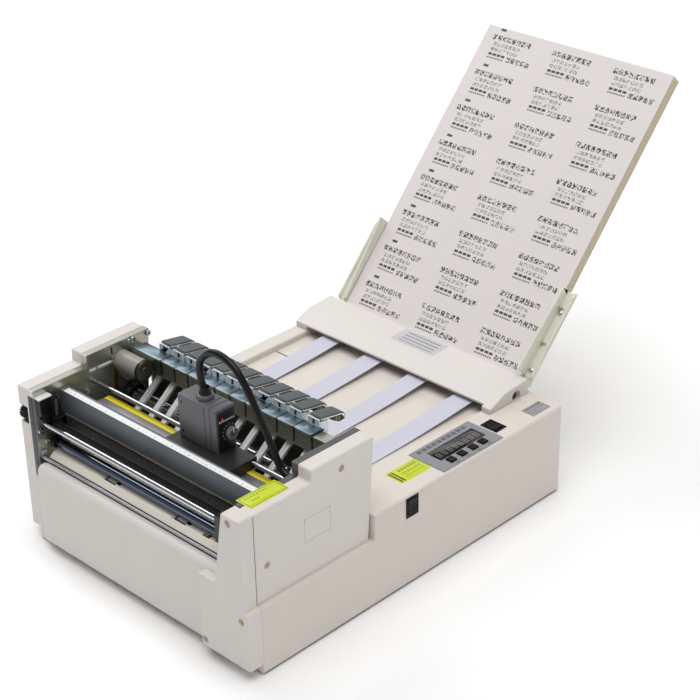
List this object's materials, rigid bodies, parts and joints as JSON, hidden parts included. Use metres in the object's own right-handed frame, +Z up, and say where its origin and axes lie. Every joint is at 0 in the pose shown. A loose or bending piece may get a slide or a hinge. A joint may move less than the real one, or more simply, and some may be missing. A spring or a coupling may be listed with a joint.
{
  "type": "label die cutting machine",
  "caption": "Desk label die cutting machine with a sloping sheet hopper, feed deck, roller pair, a row of slitting knife levers, a sliding mark sensor and a belt-drawn cross cutter.",
  "frame": {"origin": "middle of the outline seen from above, on the table under the rubber feet", "axes": "+Z up, +Y from the cutter towards the hopper, +X to the operator's right, where the control panel is"},
  "size_m": [0.2901, 0.5738, 0.3145],
  "materials": {
    "ivory_plastic": "fine satin moulding",
    "zinc_sheet": "bright zinc plate",
    "frame_steel": "grey zinc plate",
    "black_rubber": "matt",
    "chrome": "polished",
    "blue_steel": "ground",
    "blade_steel": "ground",
    "paper": "matt",
    "grey_panel": "printed film",
    "green_board": "lacquered",
    "motor_can": "cast",
    "brass": "machined",
    "strap_plastic": "smooth",
    "dark_plastic": "fine grain",
    "black_plastic": "smooth",
    "lever_grey": "fine grain"
  },
  "bodies": {
    "machine": {"base_housing": "ivory_plastic", "bottom_plate": "zinc_sheet", "rubber_feet": "black_rubber", "front_cover": "ivory_plastic", "left_side_cover": "ivory_plastic", "right_side_cover": "ivory_plastic", "left_frame_plate": "frame_steel", "right_frame_plate": "frame_steel", "cover_screws": "chrome", "knife_bar": "frame_steel", "knife_brackets": "zinc_sheet", "ruler_beam": "frame_steel", "sensor_rail": "frame_steel", "guide_rods": "chrome", "exit_tray": "ivory_plastic", "pulley_bracket": "zinc_sheet", "drive_belts": "black_rubber", "feed_head": "ivory_plastic", "hopper_plate": "ivory_plastic", "label_stack": "paper", "control_panel": "grey_panel", "circuit_board": "green_board", "feed_motor": "motor_can", "cutter_motor": "motor_can", "feed_straps": "strap_plastic", "sensor_cable": "black_rubber"},
    "feed_roller": {"feed_roller": "black_rubber"},
    "pressure_roller": {"pressure_roller": "chrome"},
    "motor_pinion": {"motor_pinion": "brass"},
    "anvil_roller": {"anvil_roller": "chrome"},
    "exit_roller": {"exit_roller": "blue_steel"},
    "idler_wheels": {"idler_wheels": "black_rubber"},
    "pickup_roller": {"pickup_roller": "black_rubber"},
    "cutter_carriage": {"cutter_carriage": "dark_plastic"},
    "cutter_blade": {"cutter_blade": "blade_steel"},
    "drive_pulley": {"drive_pulley": "dark_plastic"},
    "idler_pulley": {"idler_pulley": "dark_plastic"},
    "tension_knob": {"tension_knob": "black_plastic"},
    "sensor": {"sensor_carriage": "dark_plastic", "sensor_head": "dark_plastic"},
    "sensor_knob": {"sensor_knob": "grey_panel"},
    "button_1": {"button_1": "black_plastic"},
    "button_2": {"button_2": "black_plastic"},
    "button_3": {"button_3": "black_plastic"},
    "button_4": {"button_4": "black_plastic"},
    "top_switch": {"top_switch": "black_plastic"},
    "side_switch": {"side_switch": "black_plastic"},
    "left_guide": {"left_guide": "ivory_plastic"},
    "right_guide": {"right_guide": "ivory_plastic"},
    "knife_lever_01": {"knife_lever_01": "lever_grey"},
    "knife_lever_02": {"knife_lever_02": "lever_grey"},
    "knife_lever_03": {"knife_lever_03": "lever_grey"},
    "knife_lever_04": {"knife_lever_04": "lever_grey"},
    "knife_lever_05": {"knife_lever_05": "lever_grey"},
    "knife_lever_06": {"knife_lever_06": "lever_grey"},
    "knife_lever_07": {"knife_lever_07": "lever_grey"},
    "knife_lever_08": {"knife_lever_08": "lever_grey"},
    "knife_lever_09": {"knife_lever_09": "lever_grey"},
    "knife_lever_10": {"knife_lever_10": "lever_grey"},
    "knife_lever_11": {"knife_lever_11": "lever_grey"}
  },
  "joints": [
    {"name": "pressure_roller_spin", "type": "hinge", "parent": "machine", "child": "pressure_roller", "pos_m": [-0.00225, -0.16888, 0.1], "axis": [1, 0, 0], "continuous": true},
    {"name": "feed_roller_spin", "type": "hinge", "parent": "machine", "child": "feed_roller", "pos_m": [-0.00225, -0.16888, 0.0796], "axis": [1, 0, 0], "continuous": true},
    {"name": "motor_pinion_spin", "type": "hinge", "parent": "machine", "child": "motor_pinion", "pos_m": [-0.12725, -0.17297, 0.12103], "axis": [1, 0, 0], "continuous": true},
    {"name": "exit_roller_spin", "type": "hinge", "parent": "machine", "child": "exit_roller", "pos_m": [-0.00225, -0.25188, 0.0895], "axis": [1, 0, 0], "continuous": true},
    {"name": "anvil_roller_spin", "type": "hinge", "parent": "machine", "child": "anvil_roller", "pos_m": [-0.00225, -0.20988, 0.078], "axis": [1, 0, 0], "continuous": true},
    {"name": "idler_wheels_spin", "type": "hinge", "parent": "machine", "child": "idler_wheels", "pos_m": [-0.00225, -0.25188, 0.0797], "axis": [1, 0, 0], "continuous": true},
    {"name": "pickup_roller_spin", "type": "hinge", "parent": "machine", "child": "pickup_roller", "pos_m": [-0.00225, 0.06212, 0.0885], "axis": [1, 0, 0], "continuous": true},
    {"name": "cutter_slide", "type": "slide", "parent": "machine", "child": "cutter_carriage", "axis": [1, 0, 0], "range_m": [-0.211, 0]},
    {"name": "drive_pulley_spin", "type": "hinge", "parent": "machine", "child": "drive_pulley", "pos_m": [0.11175, -0.25238, 0.112], "axis": [0, 0, 1], "range_deg": [-2430, 10]},
    {"name": "idler_pulley_spin", "type": "hinge", "parent": "machine", "child": "idler_pulley", "pos_m": [-0.11525, -0.25238, 0.112], "axis": [0, 0, 1], "range_deg": [-2430, 10]},
    {"name": "cutter_blade_spin", "type": "hinge", "parent": "cutter_carriage", "child": "cutter_blade", "pos_m": [0.09975, -0.25988, 0.094], "axis": [0, 1, 0], "range_deg": [-1520, 10]},
    {"name": "tension_knob_turn", "type": "hinge", "parent": "machine", "child": "tension_knob", "pos_m": [-0.13725, -0.26438, 0.117], "axis": [1, 0, 0], "range_deg": [-180, 180]},
    {"name": "sensor_slide", "type": "slide", "parent": "machine", "child": "sensor", "axis": [1, 0, 0], "range_m": [-0.085, 0.04], "deforming": ["sensor_cable"]},
    {"name": "sensor_knob_turn", "type": "hinge", "parent": "sensor", "child": "sensor_knob", "pos_m": [0.04775, -0.20938, 0.148], "axis": [1, 0, 0], "range_deg": [-135, 135]},
    {"name": "button_1_press", "type": "slide", "parent": "machine", "child": "button_1", "axis": [0, 0, -1], "range_m": [0, 0.001], "stiffness_N_per_m": 300, "springref_m": -0.0005},
    {"name": "button_2_press", "type": "slide", "parent": "machine", "child": "button_2", "axis": [0, 0, -1], "range_m": [0, 0.001], "stiffness_N_per_m": 300, "springref_m": -0.0005},
    {"name": "button_3_press", "type": "slide", "parent": "machine", "child": "button_3", "axis": [0, 0, -1], "range_m": [0, 0.001], "stiffness_N_per_m": 300, "springref_m": -0.0005},
    {"name": "button_4_press", "type": "slide", "parent": "machine", "child": "button_4", "axis": [0, 0, -1], "range_m": [0, 0.001], "stiffness_N_per_m": 300, "springref_m": -0.0005},
    {"name": "top_switch_rock", "type": "hinge", "parent": "machine", "child": "top_switch", "pos_m": [0.12305, 0.01532, 0.081], "axis": [0, 1, 0], "range_deg": [-7, 7]},
    {"name": "side_switch_rock", "type": "hinge", "parent": "machine", "child": "side_switch", "pos_m": [0.14025, -0.10808, 0.0744], "axis": [0, 1, 0], "range_deg": [-7, 7]},
    {"name": "left_guide_slide", "type": "slide", "parent": "machine", "child": "left_guide", "axis": [-1, 0, 0], "range_m": [0, 0.01]},
    {"name": "right_guide_slide", "type": "slide", "parent": "machine", "child": "right_guide", "axis": [1, 0, 0], "range_m": [0, 0.01]},
    {"name": "knife_lever_01_lift", "type": "hinge", "parent": "machine", "child": "knife_lever_01", "pos_m": [-0.09125, -0.14938, 0.1425], "axis": [-1, 0, 0], "range_deg": [0, 10], "stiffness_Nm_per_rad": 0.3, "springref_deg": -5.73},
    {"name": "knife_lever_02_lift", "type": "hinge", "parent": "machine", "child": "knife_lever_02", "pos_m": [-0.07325, -0.14938, 0.1425], "axis": [-1, 0, 0], "range_deg": [0, 10], "stiffness_Nm_per_rad": 0.3, "springref_deg": -5.73},
    {"name": "knife_lever_03_lift", "type": "hinge", "parent": "machine", "child": "knife_lever_03", "pos_m": [-0.05775, -0.14938, 0.1425], "axis": [-1, 0, 0], "range_deg": [0, 10], "stiffness_Nm_per_rad": 0.3, "springref_deg": -5.73},
    {"name": "knife_lever_04_lift", "type": "hinge", "parent": "machine", "child": "knife_lever_04", "pos_m": [-0.04075, -0.14938, 0.1425], "axis": [-1, 0, 0], "range_deg": [0, 10], "stiffness_Nm_per_rad": 0.3, "springref_deg": -5.73},
    {"name": "knife_lever_05_lift", "type": "hinge", "parent": "machine", "child": "knife_lever_05", "pos_m": [-0.02525, -0.14938, 0.1425], "axis": [-1, 0, 0], "range_deg": [0, 10], "stiffness_Nm_per_rad": 0.3, "springref_deg": -5.73},
    {"name": "knife_lever_06_lift", "type": "hinge", "parent": "machine", "child": "knife_lever_06", "pos_m": [-0.00775, -0.14938, 0.1425], "axis": [-1, 0, 0], "range_deg": [0, 10], "stiffness_Nm_per_rad": 0.3, "springref_deg": -5.73},
    {"name": "knife_lever_07_lift", "type": "hinge", "parent": "machine", "child": "knife_lever_07", "pos_m": [0.01075, -0.14938, 0.1425], "axis": [-1, 0, 0], "range_deg": [0, 10], "stiffness_Nm_per_rad": 0.3, "springref_deg": -5.73},
    {"name": "knife_lever_08_lift", "type": "hinge", "parent": "machine", "child": "knife_lever_08", "pos_m": [0.02875, -0.14938, 0.1425], "axis": [-1, 0, 0], "range_deg": [0, 10], "stiffness_Nm_per_rad": 0.3, "springref_deg": -5.73},
    {"name": "knife_lever_09_lift", "type": "hinge", "parent": "machine", "child": "knife_lever_09", "pos_m": [0.04675, -0.14938, 0.1425], "axis": [-1, 0, 0], "range_deg": [0, 10], "stiffness_Nm_per_rad": 0.3, "springref_deg": -5.73},
    {"name": "knife_lever_10_lift", "type": "hinge", "parent": "machine", "child": "knife_lever_10", "pos_m": [0.06475, -0.14938, 0.1425], "axis": [-1, 0, 0], "range_deg": [0, 10], "stiffness_Nm_per_rad": 0.3, "springref_deg": -5.73},
    {"name": "knife_lever_11_lift", "type": "hinge", "parent": "machine", "child": "knife_lever_11", "pos_m": [0.08475, -0.14938, 0.1425], "axis": [-1, 0, 0], "range_deg": [0, 10], "stiffness_Nm_per_rad": 0.3, "springref_deg": -5.73}
  ],
  "couplings": [
    {"joint": "feed_roller_spin", "follows": "pressure_roller_spin", "ratio": -0.6},
    {"joint": "motor_pinion_spin", "follows": "pressure_roller_spin", "ratio": -2},
    {"joint": "exit_roller_spin", "follows": "pressure_roller_spin", "ratio": 1.6667},
    {"joint": "drive_pulley_spin", "follows": "cutter_slide", "rad_per_m": 200},
    {"joint": "idler_pulley_spin", "follows": "cutter_slide", "rad_per_m": 200},
    {"joint": "cutter_blade_spin", "follows": "cutter_slide", "rad_per_m": 125}
  ]
}
